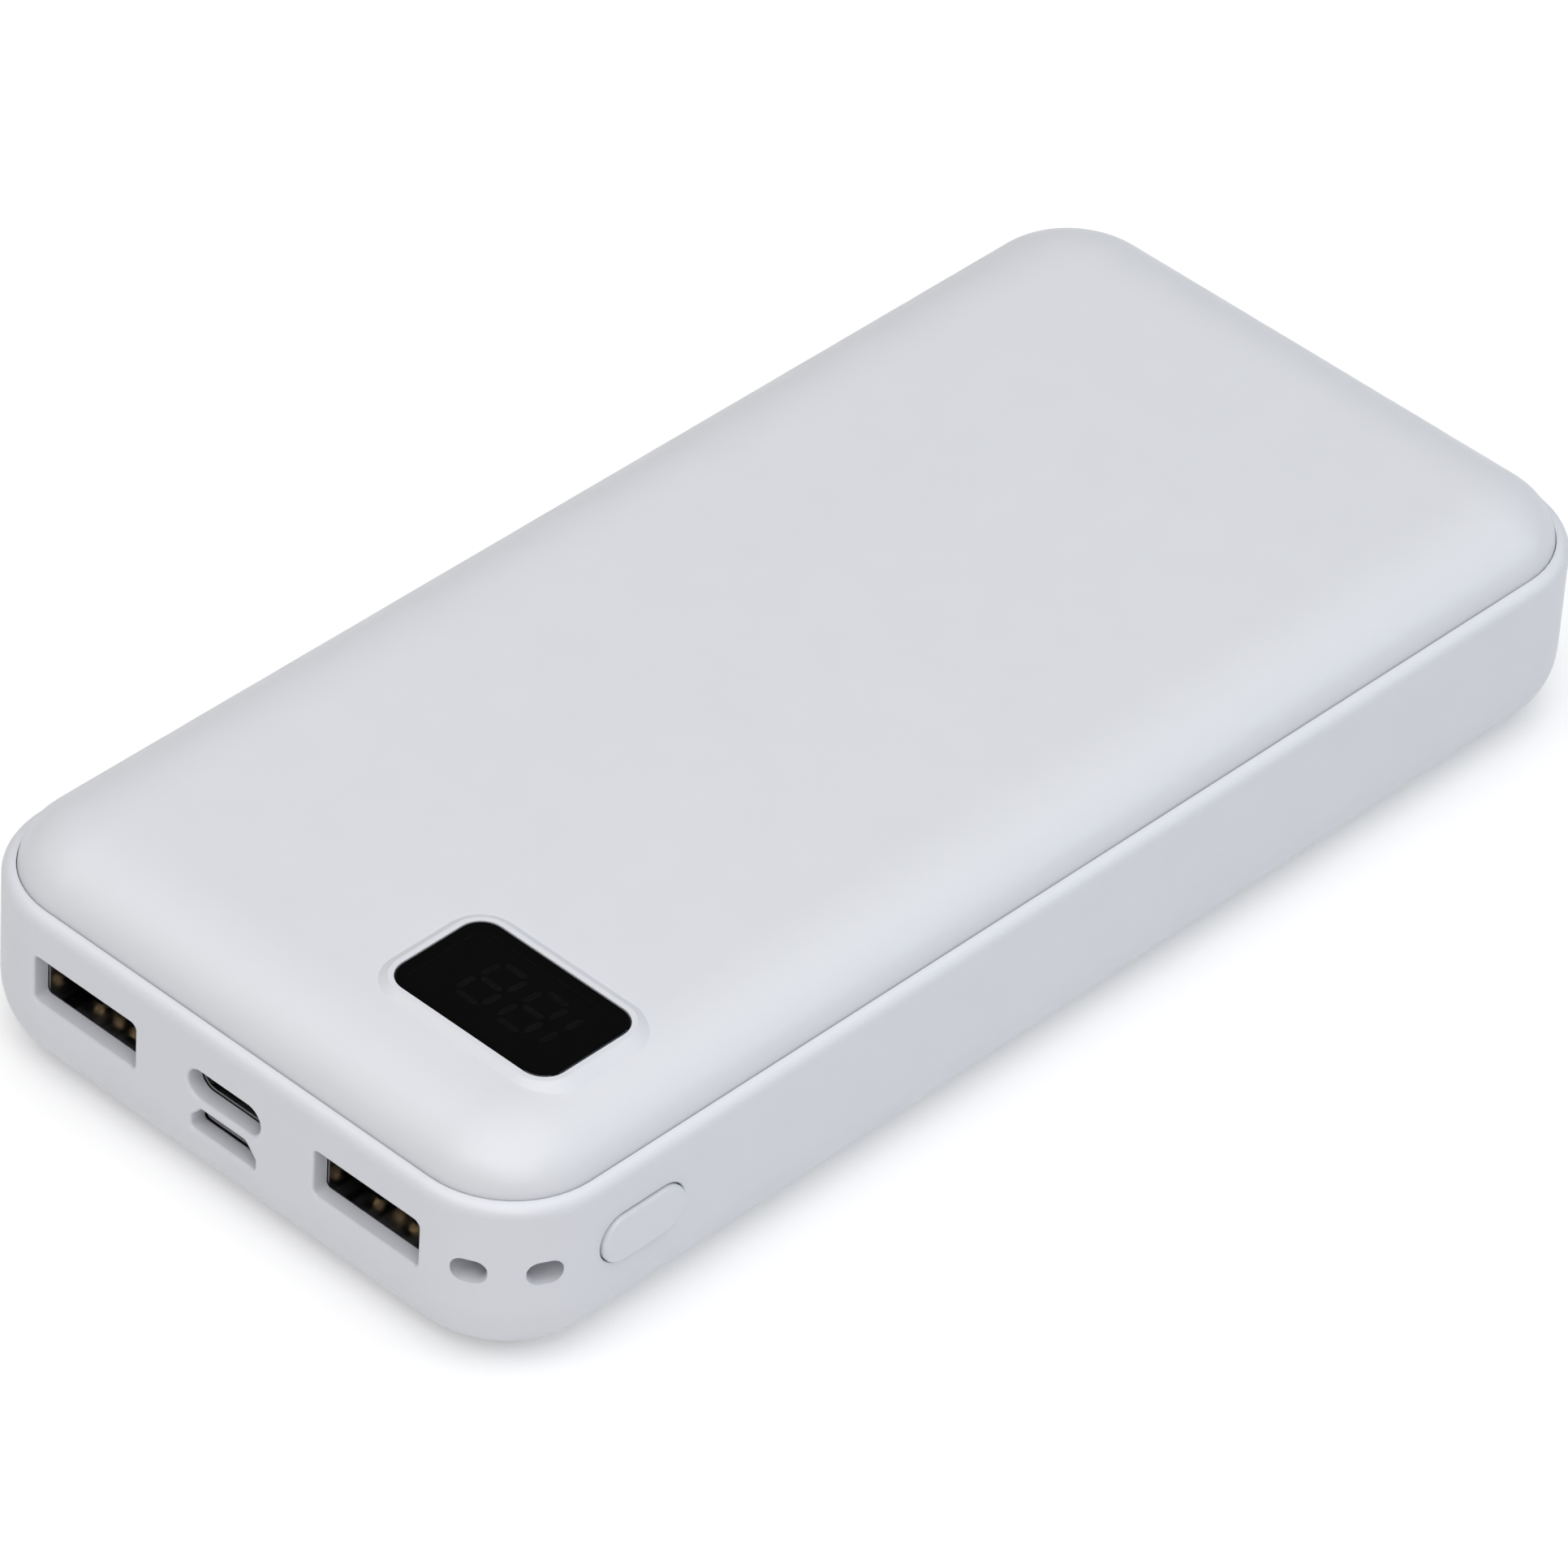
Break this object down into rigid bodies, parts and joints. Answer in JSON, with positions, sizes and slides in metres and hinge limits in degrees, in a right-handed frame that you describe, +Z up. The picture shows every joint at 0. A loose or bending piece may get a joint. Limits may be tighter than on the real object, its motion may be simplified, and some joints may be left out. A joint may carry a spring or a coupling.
{
  "type": "power bank",
  "caption": "Slim pocket power bank: deep rounded case, domed cover, dark display window, side button, two large and two small charging ports, lanyard eye in one corner.",
  "frame": {"origin": "centre of the underside, on the surface it stands on", "axes": "+X to the side with the button, +Y away from the ports along the length, +Z up out of the cover"},
  "size_m": [0.0705, 0.1454, 0.024],
  "materials": {
    "black_adhesive": "double-sided tape",
    "black_insulation": "silicone insulation",
    "black_plastic": "moulded black plastic",
    "board_green": "solder mask over glass laminate",
    "button_plastic": "satin white moulded plastic",
    "case_plastic": "satin white moulded plastic",
    "ceramic": "tan ceramic",
    "chip_epoxy": "black epoxy",
    "connector_insulator": "black moulded insulator",
    "connector_steel": "bright nickel-plated steel",
    "cover_plastic": "satin white moulded plastic",
    "ferrite": "matt ferrite",
    "foam": "closed-cell foam",
    "gold_contact": "gold-plated spring bronze",
    "nickel": "nickel strip",
    "port_insulator_light": "black moulded insulator",
    "pouch_foil": "laminated foil pouch",
    "red_insulation": "silicone insulation",
    "screw_steel": "zinc plated",
    "segment_resin": "unlit display strokes",
    "tinned_metal": "tin plated",
    "white_nylon": "moulded nylon",
    "window_lens": "polished smoked acrylic"
  },
  "bodies": {
    "case": {"battery_lead_negative": "black_insulation", "battery_lead_positive": "red_insulation", "board_screws": "screw_steel", "bottom_case": "case_plastic", "cell_tape": "foam", "ceramic_capacitors": "ceramic", "circuit_board": "board_green", "controller_chip": "chip_epoxy", "display_board": "board_green", "display_housing": "black_plastic", "display_pins": "tinned_metal", "display_segments": "segment_resin", "display_window": "window_lens", "lower_cell": "pouch_foil", "lower_foam_pad": "foam", "micro_usb_contacts": "gold_contact", "micro_usb_shell": "connector_steel", "micro_usb_tongue": "connector_insulator", "negative_strip": "nickel", "positive_strip": "nickel", "power_inductor": "ferrite", "power_transistors": "chip_epoxy", "switch_base": "black_plastic", "switch_dome": "tinned_metal", "switch_frame": "tinned_metal", "top_cover": "cover_plastic", "upper_cell": "pouch_foil", "upper_foam_pad": "foam", "usb_a_left_contacts": "gold_contact", "usb_a_left_shell": "connector_steel", "usb_a_left_tongue": "port_insulator_light", "usb_a_right_contacts": "gold_contact", "usb_a_right_shell": "connector_steel", "usb_a_right_tongue": "port_insulator_light", "usb_c_contacts": "gold_contact", "usb_c_shell": "connector_steel", "usb_c_tongue": "connector_insulator", "window_adhesive": "black_adhesive"},
    "button": {"power_button": "button_plastic"},
    "plunger": {"switch_plunger": "white_nylon"}
  },
  "joints": [
    {"name": "button_press", "type": "slide", "parent": "case", "child": "button", "axis": [-1, 0, 0], "range_m": [0, 0.0003], "stiffness_N_per_m": 4000, "deforming": ["switch_dome"]},
    {"name": "plunger_press", "type": "slide", "parent": "case", "child": "plunger", "axis": [-1, 0, 0], "range_m": [0, 0.0003], "deforming": ["switch_dome"]}
  ],
  "couplings": [
    {"joint": "plunger_press", "follows": "button_press", "ratio": 1}
  ]
}
